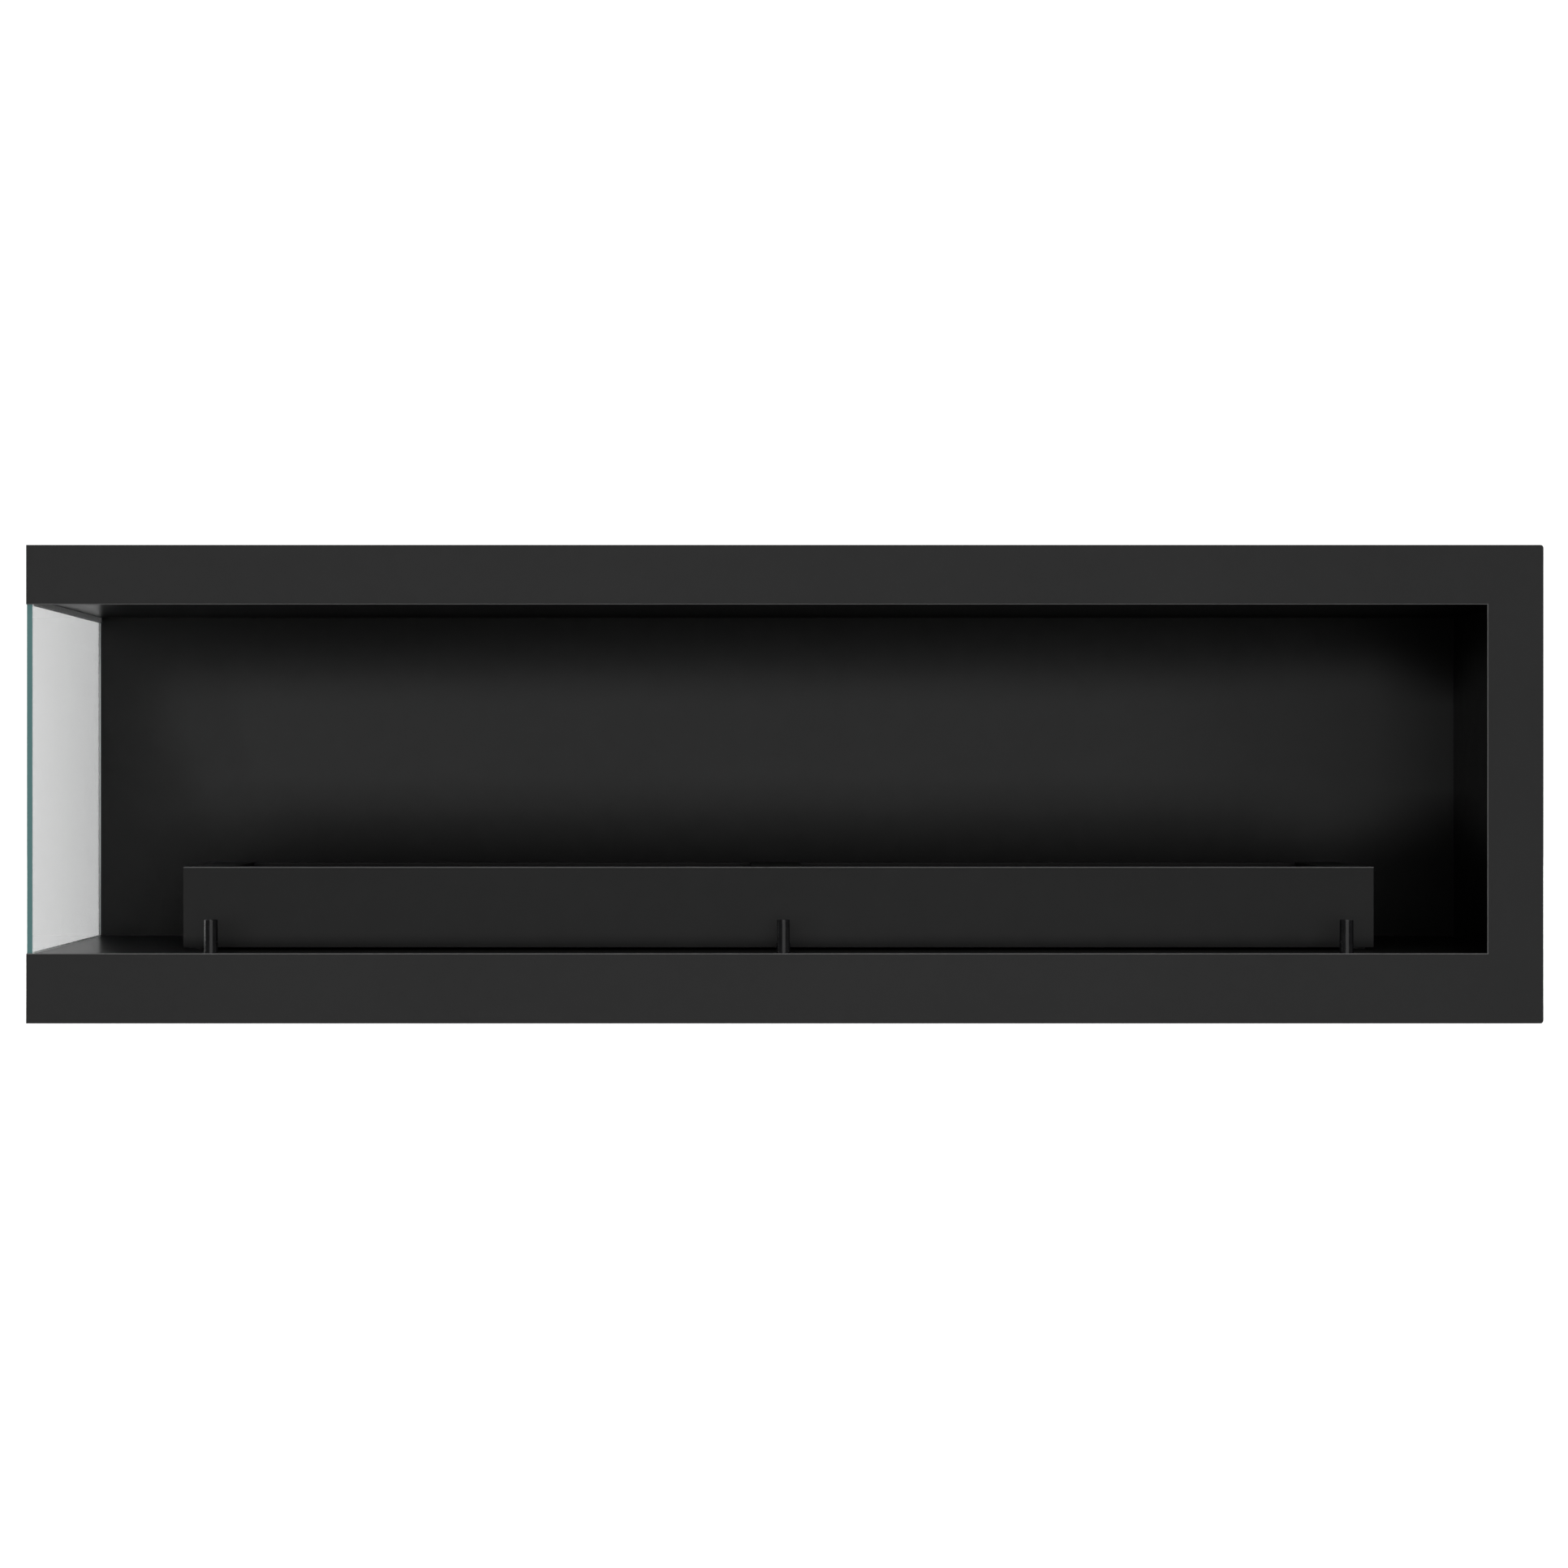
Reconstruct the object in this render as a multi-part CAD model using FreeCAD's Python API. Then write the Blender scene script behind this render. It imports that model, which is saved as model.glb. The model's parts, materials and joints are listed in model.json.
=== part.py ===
import FreeCAD, Part
import os

V = FreeCAD.Vector

# Built-in corner fireplace insert with a glazed left side and a lidded liquid-fuel burner.
# Millimetres. +Z is up, -Y is the open front, -X is the glazed side.
# The origin is the middle of the bounding box at its lowest height.

# ---- driving dimensions: outer casing ----
WIDTH = 1300.0
DEPTH = 300.0
HEIGHT = 410.0
TOP_RAIL = 51.0
BOTTOM_RAIL = 60.0
RIGHT_STILE = 48.0
FASCIA_THICK = 2.0
SHEET = 1.5
CAP_THICK = 1.0
CORNER_RADIUS = 2.8
OPENING_EDGE_RADIUS = 1.0
OUTLINE_BREAK = 0.2
SIDE_BEND = 1.4
FLANGE = 15.0

# ---- driving dimensions: firebox ----
FIREBOX_DEPTH = 270.0
CEILING_LIP = 4.0
RIGHT_WALL_GAP = 2.0
BACK_WALL_GAP = 1.3
POST_GAP = 0.3
POST_WIDTH = 26.0

# ---- driving dimensions: side glass ----
GLASS_THICK = 5.0
GLASS_TUCK = 10.0
GLASS_SETBACK = 0.5
GLASS_GAP = 0.5
GLASS_CHAMFER = 0.3
LEG_THICK = 1.2
BEDDING = 1.8
BEAD = 1.0

# ---- driving dimensions: burner housing ----
HOUSING_WIDTH = 1043.0
HOUSING_CENTRE_X = -4.0
HOUSING_FRONT = 55.0
HOUSING_DEPTH = 145.0
HOUSING_HEIGHT = 70.5
HOUSING_FOOT = 2.0
HOUSING_FLANGE = 18.0
HOUSING_BEND = 1.2

# ---- driving dimensions: burners ----
BURNER_PITCH = 502.0
PLATE_LENGTH = 456.0
PLATE_WIDTH = 108.0
PLATE_THICK = 1.5
RECESS = 5.5
LEDGE = 12.0
TANK_LENGTH = 428.0
TANK_WIDTH = 80.0
TANK_DEPTH = 46.0
TANK_WALL = 1.0
TANK_CORNER = 4.0
PLATE_CORNER = 3.0
SEAT_PLAY = 1.0
SEAT_BRIM = 4.0
FIBRE_PLAY = 1.0
FIBRE_DROP = 12.0
SLOT_LENGTH = 196.0
SLOT_WIDTH = 26.0
LID_LENGTH = 220.0
LID_WIDTH = 40.0
LID_THICK = 1.5
LID_PLAY = 0.2
LID_START = 14.0
STOP_HALF_WIDTH = 12.0
STOP_DROP = 2.5
HOOK_INSET = 14.0
HOOK_RADIUS = 3.5
GUIDE_INSET = 10.0
GUIDE_SHEET = 1.0
GUIDE_FOOT = 10.0
GUIDE_LIP = 3.0

# ---- driving dimensions: glass holders ----
HOLDER_RADIUS = 6.0
HOLDER_HEIGHT = 28.5
HOLDER_SETBACK = 8.0
HOLDER_SLOT = 5.6
HOLDER_SLOT_DEPTH = 20.0
HOLDER_X = (-493.0, -1.0, 483.0)
HOLDER_CHAMFER = 0.3
HOLDER_SCREW_DEPTH = 7.0
HOLDER_HEAD_RADIUS = 4.2
HOLDER_HEAD = 2.4
HOLDER_DRIVE_RADIUS = 1.5
GRUB_DROP = 8.0
GRUB_LENGTH = 4.0
GRUB_SOCKET_RADIUS = 1.0
GRUB_SOCKET_DEPTH = 2.0
PAD_HALF_LENGTH = 4.5
PAD_THICK = 1.5
PAD_PLAY = 0.1

# ---- values worked out from them ----
LEFT = -WIDTH / 2
RIGHT = WIDTH / 2
FRONT = -DEPTH / 2
REAR = DEPTH / 2
OPENING_TOP = HEIGHT - TOP_RAIL
OPENING_RIGHT = RIGHT - RIGHT_STILE
FLOOR = BOTTOM_RAIL
CEILING = OPENING_TOP + CEILING_LIP
SHEET_FRONT = FRONT + FASCIA_THICK
BACK_WALL = FRONT + FIREBOX_DEPTH
BACK_SKIN = REAR - SHEET
RIGHT_WALL = RIGHT - SHEET - RIGHT_WALL_GAP - SHEET
GLASS_OUT = LEFT
GLASS_IN = GLASS_OUT + GLASS_THICK
LEG_OUT = GLASS_IN + GLASS_GAP
LEG_IN = LEG_OUT + LEG_THICK
GLASS_LOW = FLOOR - GLASS_TUCK
GLASS_HIGH = OPENING_TOP + GLASS_TUCK
BED_LOW = GLASS_LOW - BEDDING
BED_HIGH = GLASS_HIGH + BEDDING
HOUSING_LEFT = HOUSING_CENTRE_X - HOUSING_WIDTH / 2
HOUSING_RIGHT = HOUSING_CENTRE_X + HOUSING_WIDTH / 2
HOUSING_Y0 = FRONT + HOUSING_FRONT
HOUSING_Y1 = HOUSING_Y0 + HOUSING_DEPTH
HOUSING_MID_Y = (HOUSING_Y0 + HOUSING_Y1) / 2
HOUSING_Z0 = FLOOR + HOUSING_FOOT
HOUSING_TOP = HOUSING_Z0 + HOUSING_HEIGHT
LEDGE_TOP = HOUSING_TOP - RECESS - PLATE_THICK
PLATE_TOP = LEDGE_TOP + PLATE_THICK
HOLDER_Y = FRONT + HOLDER_SETBACK
BURNERS = {
    "left": HOUSING_CENTRE_X - BURNER_PITCH / 2,
    "right": HOUSING_CENTRE_X + BURNER_PITCH / 2,
}

# ---- hardware ----
HOUSING_SCREW_INSET_X = 12.0
HOUSING_SCREW_INSET_Y = 20.0
HOUSING_SCREW_X = (HOUSING_LEFT + HOUSING_SCREW_INSET_X, HOUSING_RIGHT - HOUSING_SCREW_INSET_X)
HOUSING_SCREW_Y = (HOUSING_Y0 + HOUSING_SCREW_INSET_Y, HOUSING_Y1 - HOUSING_SCREW_INSET_Y)
M5_RADIUS = 2.5
M5_HOLE = 2.75
M5_HEAD_RADIUS = 4.6
M5_HEAD = 2.8
M5_HEAD_ROUND = 0.9
M5_LENGTH = 16.0
CROSS_HALF_LENGTH = 2.6
CROSS_HALF_WIDTH = 0.5
CROSS_FLOOR = 1.5
THREAD_PLAY = 0.02
NUT_RADIUS = 4.4
NUT_HEIGHT = 4.0
NUT_SIDES = 6
FOOT_RADIUS = 9.0
M4_RADIUS = 2.0
M6_BORE = 2.5
PRESS_NUT_BODY = 4.2
PRESS_NUT_HEAD = 5.6
PRESS_NUT_HEIGHT = 5.0
MOUNT_SPACING_X = 1100.0
MOUNT_SPACING_Z = 355.0
MOUNT_CENTRE_Z = 207.5
RIVET_SHANK = 1.6
RIVET_HOLE = 1.65
RIVET_TAIL_RADIUS = 2.4
RIVET_TAIL_LENGTH = 2.7
RIVET_INSET = 9.0
RIVET_END = 24.0
RIVET_COUNT = 9
VENT_LOW_Z = 48.0
VENT_HIGH_Z = HEIGHT - 50.0
VENT_LENGTH = 60.0
VENT_HEIGHT = 4.0
VENT_COUNT = 12
VENT_PITCH = 84.0
RIB_WIDTH = 40.0
RIB_FOOT = 14.0
RIB_X = (-430.0, 0.0, 430.0)
FLOOR_RIB_FRONT = -125.0
CEILING_RIB_FRONT = -140.0
RIB_REAR = 112.0
BACK_RIB_MARGIN = 8.0
BOARD_THICK = 20.0
BOARD_MARGIN = 2.0
BOARD_TOP_MARGIN = 12.0
BOARD_RIGHT_MARGIN = 6.0
TOP_BOARD_LEFT_MARGIN = 14.0
BACK_BOARD_LEFT_MARGIN = 30.0

# ---- drill lengths and limits for comparing ----
DRILL_LENGTH = 60.0
DRILL_LEAD = 5.0
TOLERANCE = 0.01
PARALLEL_TOLERANCE = 1e-6


def block(x0, x1, y0, y1, z0, z1):
    """Return a box between two values on each axis."""
    return Part.makeBox(x1 - x0, y1 - y0, z1 - z0, V(x0, y0, z0))


def rod(x, y, z, radius, length, axis=V(0, 0, 1)):
    """Return a cylinder that starts at a point and runs along an axis."""
    return Part.makeCylinder(radius, length, V(x, y, z), axis)


def cut(shape, tools):
    """Return the shape with every tool taken away."""
    for tool in tools:
        shape = shape.cut(tool)
    return shape


def fuse(pieces):
    """Return the pieces as one clean solid."""
    shape = pieces[0]
    for piece in pieces[1:]:
        shape = shape.fuse(piece)
    return shape.removeSplitter()


def parallel(edge, direction):
    """Say whether a straight edge runs along a direction."""
    if edge.Curve.TypeId != "Part::GeomLine":
        return False
    run = edge.Vertexes[-1].Point - edge.Vertexes[0].Point
    return run.Length > 0 and abs(abs(run.normalize().dot(direction)) - 1) < PARALLEL_TOLERANCE


def round_edges(shape, radius, direction, accept):
    """Round the straight edges along a direction whose midpoint is accepted."""
    chosen = []
    for edge in shape.Edges:
        if not parallel(edge, direction):
            continue
        middle = (edge.Vertexes[0].Point + edge.Vertexes[-1].Point) * 0.5
        if accept(middle):
            chosen.append(edge)
    return shape.makeFillet(radius, chosen)


def near(value, target):
    """Say whether two coordinates are the same."""
    return abs(value - target) < TOLERANCE


def save(name, *solids):
    """Write one node as a STEP file."""
    shape = solids[0] if len(solids) == 1 else Part.makeCompound(list(solids))
    for solid in shape.Solids:
        if not solid.isValid():
            raise ValueError(name + " holds a faulty solid")
    shape.exportStep("parts/" + name + ".step")


# ---- outer casing ----
def front_edges(plate, inner):
    """List the fascia's front edges around its opening, or those around its outline."""
    found = []
    for edge in plate.Edges:
        if not all(near(v.Point.y, FRONT) for v in edge.Vertexes):
            continue
        box = edge.BoundBox
        below_top = box.ZMin > FLOOR - 1 and box.ZMax < OPENING_TOP + 1
        inside = below_top and box.XMax < OPENING_RIGHT + 1
        if inside == inner and not near(box.XMax, LEFT):
            found.append(edge)
    return found


def front_fascia():
    """Make the C-shaped front plate: top rail, right stile and bottom rail."""
    plate = block(LEFT, RIGHT, FRONT, SHEET_FRONT, 0, HEIGHT)
    plate = round_edges(plate, CORNER_RADIUS, V(0, 1, 0), lambda p: near(p.x, RIGHT))
    opening = block(LEFT - 1, OPENING_RIGHT, FRONT - 1, REAR, FLOOR, OPENING_TOP)
    plate = plate.cut(opening)
    plate = plate.makeChamfer(OUTLINE_BREAK, front_edges(plate, False))
    return plate.makeFillet(OPENING_EDGE_RADIUS, front_edges(plate, True))


def casing_tray(outer_z, inward):
    """Make a top or bottom casing sheet with flanges turned into the casing."""
    x0 = LEFT + CAP_THICK
    x1 = RIGHT - SHEET
    skin_z = sorted((outer_z, outer_z + inward * SHEET))
    wall_z = sorted((outer_z, outer_z + inward * (SHEET + FLANGE)))
    skin = block(x0, x1, SHEET_FRONT, BACK_SKIN, *skin_z)
    rear = block(x0, x1, BACK_SKIN - SHEET, BACK_SKIN, *wall_z)
    left = block(x0, x0 + SHEET, SHEET_FRONT, BACK_SKIN, *wall_z)
    return fuse([skin, rear, left])


def rivet_places():
    """List where the rivets pass through the back sheet."""
    first = LEFT + CAP_THICK + RIVET_END
    last = RIGHT - SHEET - RIVET_END
    step = (last - first) / (RIVET_COUNT - 1)
    rows = (RIVET_INSET, HEIGHT - RIVET_INSET)
    return [(first + step * i, z) for z in rows for i in range(RIVET_COUNT)]


def mount_places():
    """List the four press-nut centres on the rear face."""
    half_x = MOUNT_SPACING_X / 2
    half_z = MOUNT_SPACING_Z / 2
    return [(x, MOUNT_CENTRE_Z + z) for x in (-half_x, half_x) for z in (-half_z, half_z)]


def rear_holes(places, radius):
    """Return drill bits along Y through the rear sheets."""
    y = BACK_WALL + DRILL_LEAD
    return [rod(x, y, z, radius, DRILL_LENGTH, V(0, 1, 0)) for x, z in places]


def vent_slots():
    """Return the slots that let the jacket between the two skins breathe."""
    slots = []
    for z in (VENT_LOW_Z, VENT_HIGH_Z):
        for i in range(VENT_COUNT):
            x = (i - (VENT_COUNT - 1) / 2) * VENT_PITCH
            half = VENT_LENGTH / 2
            slots.append(block(x - half, x + half, BACK_SKIN - 1, REAR + 1, z, z + VENT_HEIGHT))
    return slots


def casing_back():
    """Make the rear casing sheet with its vents and fastener holes."""
    sheet = block(LEFT, RIGHT, BACK_SKIN, REAR, 0, HEIGHT)
    sheet = round_edges(sheet, CORNER_RADIUS, V(0, 1, 0), lambda p: near(p.x, RIGHT))
    tools = rear_holes(rivet_places(), RIVET_HOLE)
    tools += rear_holes(mount_places(), PRESS_NUT_BODY)
    return cut(sheet, tools + vent_slots())


def casing_right_side():
    """Make the right casing sheet."""
    sheet = block(RIGHT - SHEET, RIGHT, SHEET_FRONT, BACK_SKIN, 0, HEIGHT)
    return round_edges(sheet, SIDE_BEND, V(0, 1, 0), lambda p: near(p.x, RIGHT))


def left_end_cap(z0, z1):
    """Make the thin cap that closes the casing above or below the glass."""
    return block(LEFT, LEFT + CAP_THICK, SHEET_FRONT, BACK_SKIN, z0, z1)


def press_nuts():
    """Make the four M6 nuts pressed flush into the back sheet."""
    nuts = []
    for x, z in mount_places():
        flange_y = BACK_SKIN - PRESS_NUT_HEIGHT
        head = rod(x, flange_y, z, PRESS_NUT_HEAD, PRESS_NUT_HEIGHT, V(0, 1, 0))
        body = rod(x, BACK_SKIN, z, PRESS_NUT_BODY, SHEET, V(0, 1, 0))
        bore = rod(x, flange_y - 1, z, M6_BORE, PRESS_NUT_HEIGHT + SHEET + 2, V(0, 1, 0))
        nuts.append(head.fuse(body).cut(bore).removeSplitter())
    return nuts


def casing_rivets():
    """Make the blind rivets that join the back sheet to the casing flanges."""
    rivets = []
    inner = BACK_SKIN - SHEET
    start = inner - RIVET_TAIL_LENGTH
    for x, z in rivet_places():
        shank = rod(x, start, z, RIVET_SHANK, REAR - start, V(0, 1, 0))
        tail = rod(x, start, z, RIVET_TAIL_RADIUS, RIVET_TAIL_LENGTH, V(0, 1, 0))
        rivets.append(shank.fuse(tail).removeSplitter())
    return rivets


# ---- firebox liner ----
def firebox_ceiling():
    """Make the firebox ceiling with a flange turned up behind the back wall."""
    x1 = RIGHT_WALL + SHEET
    y1 = BACK_WALL + SHEET
    sheet = block(LEG_IN, x1, SHEET_FRONT, y1, CEILING, CEILING + SHEET)
    rear = block(LEG_IN, x1, BACK_WALL, y1, CEILING, CEILING + FLANGE)
    return fuse([sheet, rear])


def firebox_back_wall():
    """Make the firebox back wall."""
    x0 = LEG_IN + BACK_WALL_GAP
    return block(x0, RIGHT_WALL, BACK_WALL, BACK_WALL + SHEET, FLOOR, CEILING)


def firebox_right_wall():
    """Make the firebox right wall."""
    return block(RIGHT_WALL, RIGHT_WALL + SHEET, SHEET_FRONT, BACK_WALL + SHEET, FLOOR, CEILING)


def floor_hole_places():
    """List the screw holes in the firebox floor."""
    holes = [(x, HOLDER_Y) for x in HOLDER_X]
    holes += [(x, y) for x in HOUSING_SCREW_X for y in HOUSING_SCREW_Y]
    return holes


def firebox_floor():
    """Make the firebox floor with flanges turned down at its front and rear."""
    x0 = LEG_IN
    x1 = RIGHT_WALL + SHEET
    sheet = block(x0, x1, SHEET_FRONT, BACK_WALL + SHEET, FLOOR - SHEET, FLOOR)
    front = block(x0, x1, SHEET_FRONT, SHEET_FRONT + SHEET, FLOOR - FLANGE, FLOOR)
    rear = block(x0, x1, BACK_WALL, BACK_WALL + SHEET, FLOOR - FLANGE, FLOOR)
    holes = [rod(x, y, FLOOR - SHEET - 1, M5_HOLE, SHEET + 2) for x, y in floor_hole_places()]
    return cut(fuse([sheet, front, rear]), holes)


def rear_left_post():
    """Make the folded post behind the rear edge of the glass."""
    y0 = BACK_WALL + SHEET + POST_GAP
    x1 = LEG_IN + POST_WIDTH
    outer = block(LEFT, LEFT + SHEET, y0, BACK_SKIN, BED_LOW, BED_HIGH)
    front = block(LEFT, x1, y0, y0 + SHEET, BED_LOW, BED_HIGH)
    inner = block(x1 - SHEET, x1, y0, BACK_SKIN, BED_LOW, BED_HIGH)
    return fuse([outer, front, inner])


def rib_profile(y0, y1, base, top, axis_x):
    """Make one hat-section rib that runs along Y between two sheets."""
    half = RIB_WIDTH / 2
    crown = block(axis_x - half, axis_x + half, y0, y1, top - SHEET, top)
    left = block(axis_x - half, axis_x - half + SHEET, y0, y1, base, top)
    right = block(axis_x + half - SHEET, axis_x + half, y0, y1, base, top)
    feet_z = (base, base + SHEET)
    foot_left = block(axis_x - half - RIB_FOOT, axis_x - half + SHEET, y0, y1, *feet_z)
    foot_right = block(axis_x + half - SHEET, axis_x + half + RIB_FOOT, y0, y1, *feet_z)
    return fuse([crown, left, right, foot_left, foot_right])


def floor_ribs():
    """Make the ribs that carry the firebox floor."""
    top = FLOOR - SHEET
    return [rib_profile(FLOOR_RIB_FRONT, RIB_REAR, SHEET, top, x) for x in RIB_X]


def ceiling_ribs():
    """Make the ribs that hold the ceiling at its distance from the casing."""
    base = CEILING + SHEET
    top = HEIGHT - SHEET
    return [rib_profile(CEILING_RIB_FRONT, RIB_REAR, base, top, x) for x in RIB_X]


def back_ribs():
    """Make the ribs between the back wall and the back sheet."""
    ribs = []
    half = RIB_WIDTH / 2
    y0 = BACK_WALL + SHEET
    y1 = BACK_SKIN
    z0 = FLOOR + BACK_RIB_MARGIN
    z1 = CEILING - BACK_RIB_MARGIN
    for x in RIB_X:
        crown = block(x - half, x + half, y0, y0 + SHEET, z0, z1)
        left = block(x - half, x - half + SHEET, y0, y1, z0, z1)
        right = block(x + half - SHEET, x + half, y0, y1, z0, z1)
        foot_left = block(x - half - RIB_FOOT, x - half + SHEET, y1 - SHEET, y1, z0, z1)
        foot_right = block(x + half - SHEET, x + half + RIB_FOOT, y1 - SHEET, y1, z0, z1)
        ribs.append(fuse([crown, left, right, foot_left, foot_right]))
    return ribs


def board_spans(x_low, x_high):
    """List the bays between the ribs as pairs of X values."""
    clear = RIB_WIDTH / 2 + RIB_FOOT + BOARD_MARGIN
    starts = [x_low] + [x + clear for x in RIB_X]
    ends = [x - clear for x in RIB_X] + [x_high]
    return list(zip(starts, ends))


def insulation_top():
    """Make the insulation boards that lie on the firebox ceiling."""
    z0 = CEILING + SHEET
    spans = board_spans(LEG_IN + TOP_BOARD_LEFT_MARGIN, RIGHT_WALL - BOARD_RIGHT_MARGIN)
    depth = (CEILING_RIB_FRONT, RIB_REAR)
    return [block(x0, x1, *depth, z0, z0 + BOARD_THICK) for x0, x1 in spans]


def insulation_back():
    """Make the insulation boards behind the firebox back wall."""
    y0 = BACK_WALL + SHEET
    spans = board_spans(LEG_IN + BACK_BOARD_LEFT_MARGIN, RIGHT_WALL - BOARD_RIGHT_MARGIN)
    height = (FLOOR + BACK_RIB_MARGIN, CEILING - BOARD_TOP_MARGIN)
    return [block(x0, x1, y0, y0 + BOARD_THICK, *height) for x0, x1 in spans]


# ---- side glass and what holds it ----
def side_glass():
    """Make the side pane with a chamfered front edge."""
    front = SHEET_FRONT + GLASS_SETBACK
    pane = block(GLASS_OUT, GLASS_IN, front, BACK_WALL, GLASS_LOW, GLASS_HIGH)
    edges = [
        edge
        for edge in pane.Edges
        if parallel(edge, V(0, 0, 1)) and all(near(v.Point.y, front) for v in edge.Vertexes)
    ]
    return pane.makeChamfer(GLASS_CHAMFER, edges)


def glass_angle(z_leg, z_base, side):
    """Make one angle that traps an edge of the glass."""
    leg_z = sorted((z_leg, z_base + side * LEG_THICK))
    base_z = sorted((z_base, z_base + side * LEG_THICK))
    y0 = SHEET_FRONT + SHEET if side < 0 else SHEET_FRONT
    leg = block(LEG_OUT, LEG_IN, y0, BACK_WALL, *leg_z)
    base = block(GLASS_OUT + SHEET, LEG_IN, y0, BACK_WALL, *base_z)
    return fuse([leg, base])


def glass_bedding():
    """Make the soft strips that the glass stands on and is pressed under."""
    strips = []
    front = SHEET_FRONT + SHEET + GLASS_SETBACK
    for z0 in (BED_LOW, GLASS_HIGH):
        strips.append(block(GLASS_OUT + SHEET, GLASS_IN, front, BACK_WALL, z0, z0 + BEDDING))
    rear = BACK_WALL + SHEET + POST_GAP
    strips.append(block(GLASS_OUT, GLASS_IN, BACK_WALL, rear, GLASS_LOW, GLASS_HIGH))
    return strips


def bead_strip(corner, along, into, length, direction):
    """Make one triangular bead from its corner point and two leg directions."""
    wire = Part.makePolygon([corner, corner + along, corner + into, corner])
    return Part.Face(wire).extrude(direction * length)


def glass_beads():
    """Make the clear sealing beads inside the top, rear and bottom of the glass."""
    y0 = SHEET_FRONT + SHEET
    run = BACK_WALL - y0
    x = GLASS_IN
    side = V(BEAD, 0, 0)
    top = bead_strip(V(x, y0, OPENING_TOP), side, V(0, 0, -BEAD), run, V(0, 1, 0))
    low = bead_strip(V(x, y0, FLOOR), side, V(0, 0, BEAD), run, V(0, 1, 0))
    height = OPENING_TOP - FLOOR - 2 * BEAD
    rear = bead_strip(V(x, BACK_WALL, FLOOR + BEAD), side, V(0, -BEAD, 0), height, V(0, 0, 1))
    return [top, low, rear]


# ---- burner housing ----
def burner_openings(z0, z1):
    """Return the burner cut-outs in the housing top as blocks."""
    half_x = PLATE_LENGTH / 2 + SEAT_PLAY
    half_y = PLATE_WIDTH / 2 + SEAT_PLAY
    depth = (HOUSING_MID_Y - half_y, HOUSING_MID_Y + half_y)
    return [block(x - half_x, x + half_x, *depth, z0, z1) for x in BURNERS.values()]


def burner_housing():
    """Make the folded burner cover with its two recessed seats and foot flanges."""
    x0, x1 = HOUSING_LEFT, HOUSING_RIGHT
    y0, y1 = HOUSING_Y0, HOUSING_Y1
    z0, z1 = HOUSING_Z0, HOUSING_TOP
    shell = block(x0, x1, y0, y1, z0, z1)
    shell = round_edges(shell, HOUSING_BEND, V(1, 0, 0), lambda p: near(p.z, z1))
    cavity = block(x0 + SHEET, x1 - SHEET, y0 + SHEET, y1 - SHEET, z0 - 1, z1 - SHEET)
    shell = cut(shell, [cavity] + burner_openings(LEDGE_TOP, z1 + 1))
    reach = SHEET + HOUSING_FLANGE
    flanges = [
        block(x0, x0 + reach, y0, y1, z0, z0 + SHEET),
        block(x1 - reach, x1, y0, y1, z0, z0 + SHEET),
    ]
    shell = fuse([shell] + flanges)
    holes = [
        rod(x, y, z0 - 1, M5_HOLE, SHEET + 2) for x in HOUSING_SCREW_X for y in HOUSING_SCREW_Y
    ]
    return cut(shell, holes)


def seat_block(x, grow, z0, z1):
    """Return a block that is larger than the seat's well by an amount on each side."""
    half_x = PLATE_LENGTH / 2 + SEAT_PLAY + grow
    half_y = PLATE_WIDTH / 2 + SEAT_PLAY + grow
    depth = (HOUSING_MID_Y - half_y, HOUSING_MID_Y + half_y)
    return block(x - half_x, x + half_x, *depth, z0, z1)


def burner_seat(x):
    """Make the recessed frame that a burner hangs in."""
    bottom = LEDGE_TOP - SHEET
    top = HOUSING_TOP - SHEET
    outer = seat_block(x, SHEET, bottom, top)
    flare = seat_block(x, SEAT_BRIM, top - SHEET, top)
    well = seat_block(x, 0, LEDGE_TOP, top + 1)
    drop = seat_block(x, -LEDGE, bottom - 1, top)
    return cut(outer.fuse(flare), [well, drop]).removeSplitter()


def housing_feet():
    """Make the washers that hold the housing just above the floor."""
    feet = []
    for x in HOUSING_SCREW_X:
        for y in HOUSING_SCREW_Y:
            disc = rod(x, y, FLOOR, FOOT_RADIUS, HOUSING_FOOT)
            feet.append(disc.cut(rod(x, y, FLOOR - 1, M5_HOLE, HOUSING_FOOT + 2)))
    return feet


def housing_screws():
    """Make the pan-head screws inside the housing."""
    screws = []
    base = HOUSING_Z0 + SHEET
    top = base + M5_HEAD
    low = base + CROSS_FLOOR
    long, short = CROSS_HALF_LENGTH, CROSS_HALF_WIDTH
    for x in HOUSING_SCREW_X:
        for y in HOUSING_SCREW_Y:
            head = rod(x, y, base, M5_HEAD_RADIUS, M5_HEAD)
            rim = [edge for edge in head.Edges if near(edge.BoundBox.ZMin, top)]
            head = head.makeFillet(M5_HEAD_ROUND, rim)
            shank = rod(x, y, base - M5_LENGTH, M5_RADIUS, M5_LENGTH)
            drive = block(x - long, x + long, y - short, y + short, low, top + 1)
            cross = block(x - short, x + short, y - long, y + long, low, top + 1)
            screws.append(cut(head.fuse(shank).removeSplitter(), [drive, cross]))
    return screws


def housing_nuts():
    """Make the hexagon nuts under the firebox floor."""
    nuts = []
    base = FLOOR - SHEET - NUT_HEIGHT
    for x in HOUSING_SCREW_X:
        for y in HOUSING_SCREW_Y:
            nut = hexagon(x, y, base, NUT_RADIUS, NUT_HEIGHT)
            bore = rod(x, y, base - 1, M5_RADIUS + THREAD_PLAY, NUT_HEIGHT + 2)
            nuts.append(nut.cut(bore))
    return nuts


def hexagon(x, y, z, across_corner, height):
    """Return a hexagonal prism."""
    circle = Part.makeCircle(across_corner, V(x, y, z))
    points = circle.discretize(NUT_SIDES + 1)
    return Part.Face(Part.makePolygon(points)).extrude(V(0, 0, height))


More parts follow.
